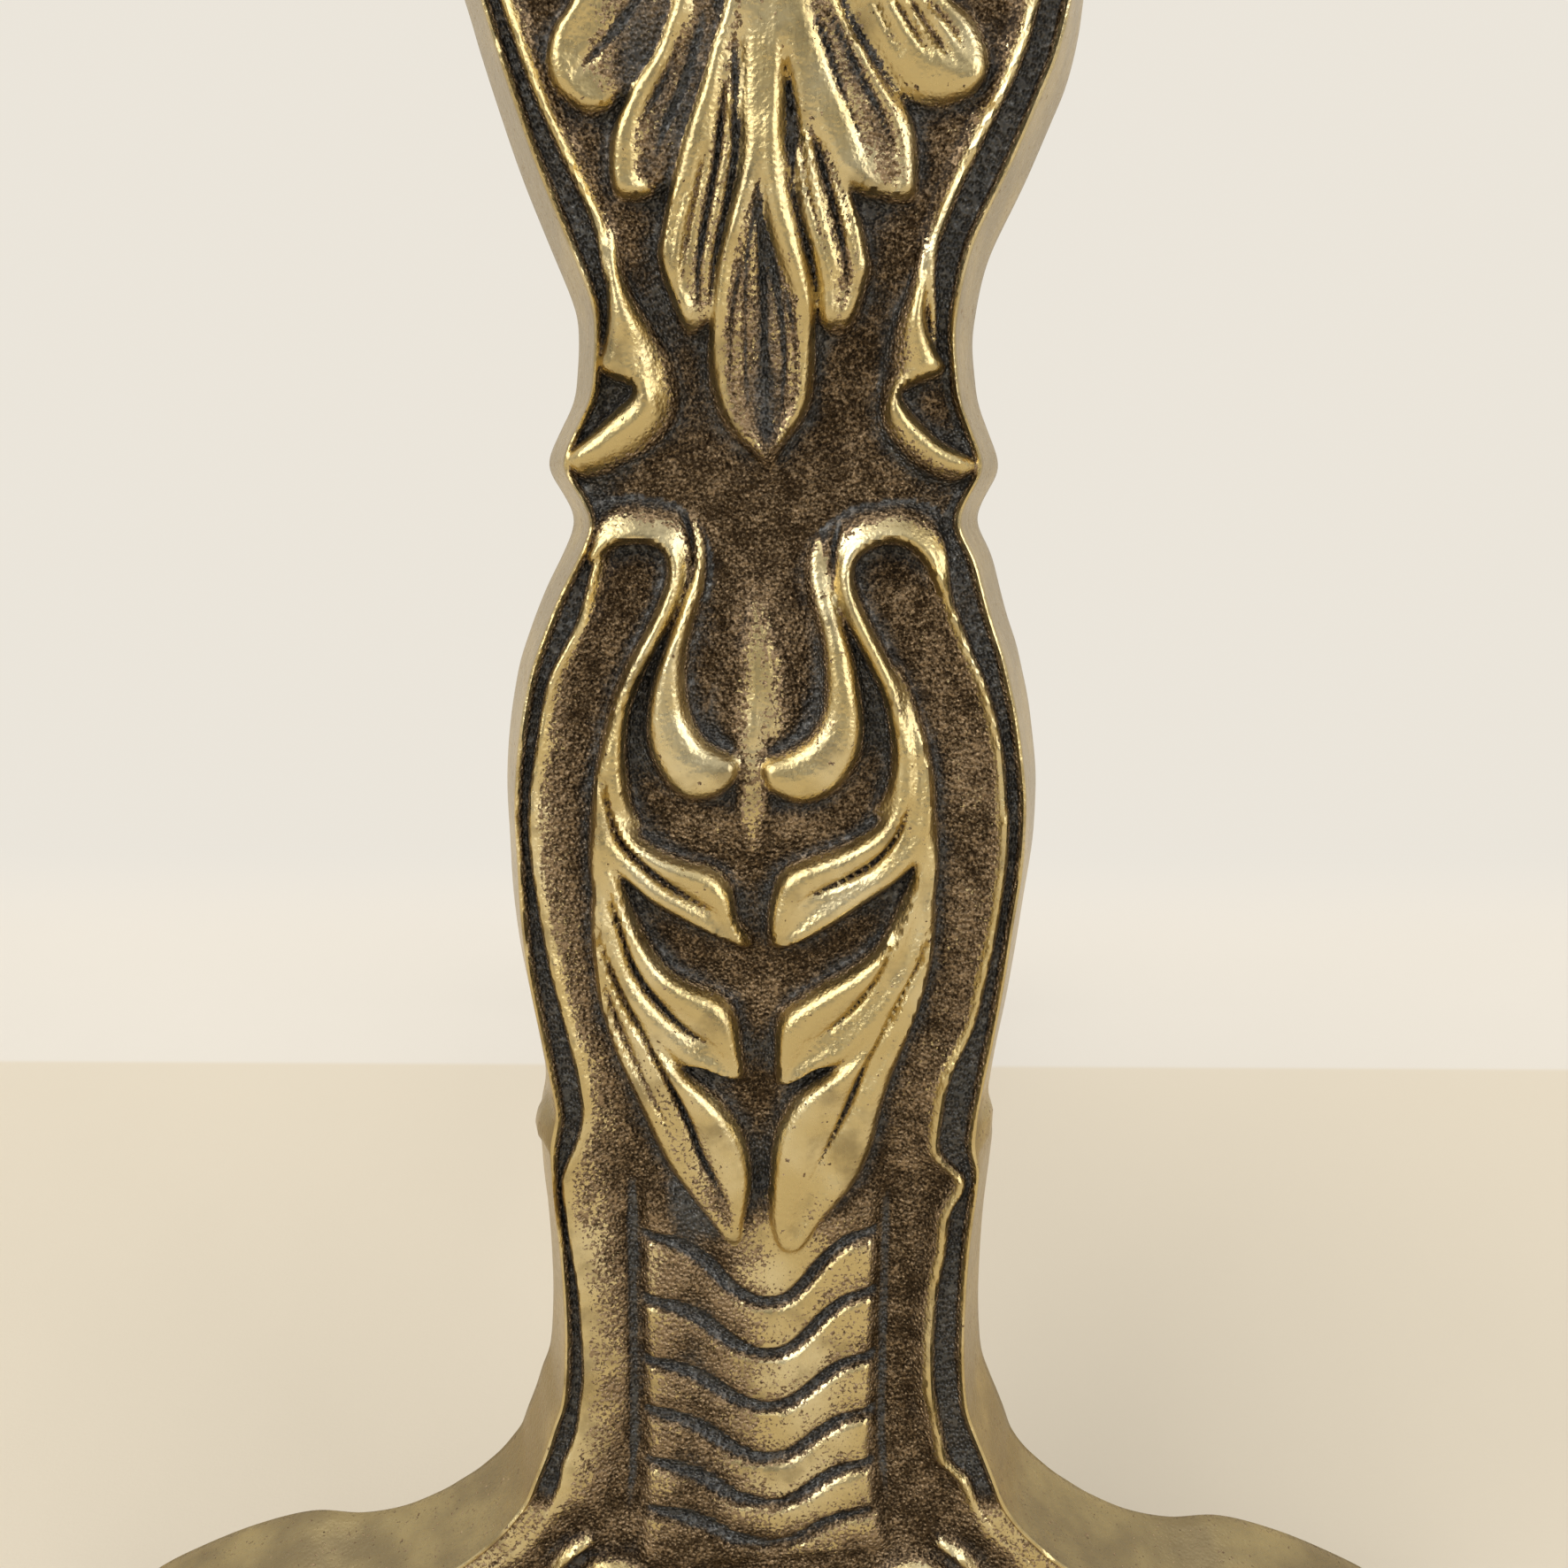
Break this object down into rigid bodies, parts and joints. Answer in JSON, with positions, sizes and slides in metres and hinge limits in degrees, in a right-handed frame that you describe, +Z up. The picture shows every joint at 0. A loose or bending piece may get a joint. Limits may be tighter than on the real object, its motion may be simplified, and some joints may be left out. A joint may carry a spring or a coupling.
{
  "type": "andiron",
  "caption": "Free-standing andiron with a waisted rococo front of cast brass and a square iron log bar that runs back to a rear leg, to hold burning logs off the hearth.",
  "frame": {"origin": "on the hearth, at the middle of the andiron's width and depth", "axes": "+Z up; the ornate face looks along -Y and the log bar runs back along +Y; +X is to the right of someone facing the front"},
  "size_m": [0.268, 0.4026, 0.38],
  "materials": {
    "brass_casting": "hand-chased cast brass, bright on the high relief, with a dark brown to blue-black patina in the recesses",
    "forged_iron": "forged bar iron with brown rust and fire scale",
    "iron_fastener": "blackened iron fasteners"
  },
  "bodies": {
    "root": {"front_casting": "brass_casting", "mounting_plate": "forged_iron", "upper_stud": "iron_fastener", "lower_stud": "iron_fastener", "upper_washer": "iron_fastener", "lower_washer": "iron_fastener", "upper_nut": "iron_fastener", "lower_nut": "iron_fastener", "log_bar": "forged_iron", "rear_leg": "forged_iron"}
  },
  "joints": []
}
